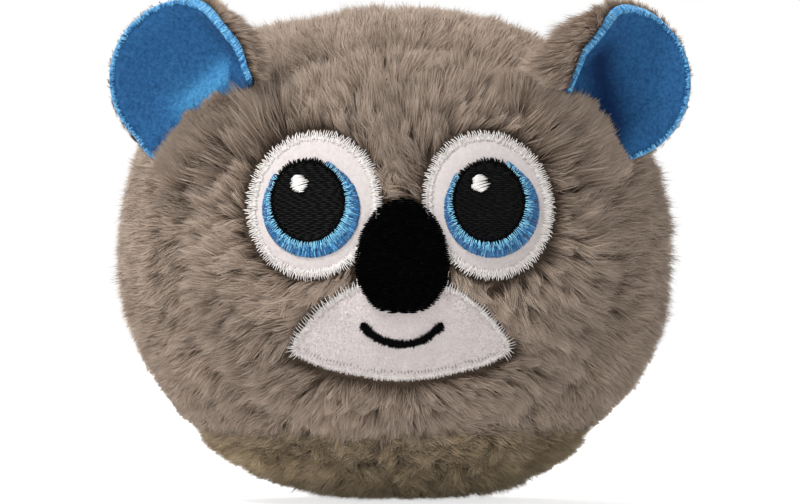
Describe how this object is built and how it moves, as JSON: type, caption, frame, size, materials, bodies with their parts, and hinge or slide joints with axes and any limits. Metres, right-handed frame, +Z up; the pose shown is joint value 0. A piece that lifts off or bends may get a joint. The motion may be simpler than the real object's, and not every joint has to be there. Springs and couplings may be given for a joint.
{
  "type": "plush koala head ball",
  "caption": "Ball-shaped plush koala head with embroidered eyes, nose and smile, and round felt-lined ears that flex at their seam.",
  "frame": {"origin": "centre of the small flat patch under the ball that it rests on", "axes": "+Z up, -Y out of the face, +X towards the right of someone who looks at the face; the longest extent, across the ears, lies along X"},
  "size_m": [0.1024, 0.0888, 0.0903],
  "materials": {
    "plush_fur": "long combed pile, taupe",
    "fibre_fill": "loose polyester fibre",
    "seam_thread": "twisted sewing thread",
    "short_pile": "short velvety pile, white",
    "white_thread": "satin stitch, lustrous",
    "blue_thread": "satin stitch, lustrous",
    "black_thread": "dense fill stitch",
    "blue_felt": "pressed felt",
    "edging_thread": "overlocked edge stitch"
  },
  "bodies": {
    "head": {"face_panel": "plush_fur", "back_panel_left": "plush_fur", "back_panel_right": "plush_fur", "base_panel": "plush_fur", "stuffing": "fibre_fill", "base_seam_thread": "seam_thread", "face_seam_thread": "seam_thread", "back_seam_thread": "seam_thread", "muzzle_patch": "short_pile", "muzzle_border": "white_thread", "mouth": "black_thread", "nose": "black_thread", "eye_left_patch": "short_pile", "eye_left_border": "white_thread", "eye_left_iris": "blue_thread", "eye_left_pupil": "black_thread", "eye_left_glint": "white_thread", "eye_right_patch": "short_pile", "eye_right_border": "white_thread", "eye_right_iris": "blue_thread", "eye_right_pupil": "black_thread", "eye_right_glint": "white_thread", "ear_left_root": "blue_felt", "ear_right_root": "blue_felt"},
    "ear_left": {"ear_left_lining": "blue_felt", "ear_left_back": "plush_fur", "ear_left_edging": "edging_thread"},
    "ear_right": {"ear_right_lining": "blue_felt", "ear_right_back": "plush_fur", "ear_right_edging": "edging_thread"}
  },
  "joints": [
    {"name": "ear_left_flex", "type": "hinge", "parent": "head", "child": "ear_left", "pos_m": [-0.03233, -0.028, 0.07018], "axis": [0.7576, 0, 0.6527], "range_deg": [-25, 50], "stiffness_Nm_per_rad": 0.02},
    {"name": "ear_right_flex", "type": "hinge", "parent": "head", "child": "ear_right", "pos_m": [0.03244, -0.028, 0.07008], "axis": [0.6978, 0, -0.7163], "range_deg": [-25, 50], "stiffness_Nm_per_rad": 0.02}
  ]
}
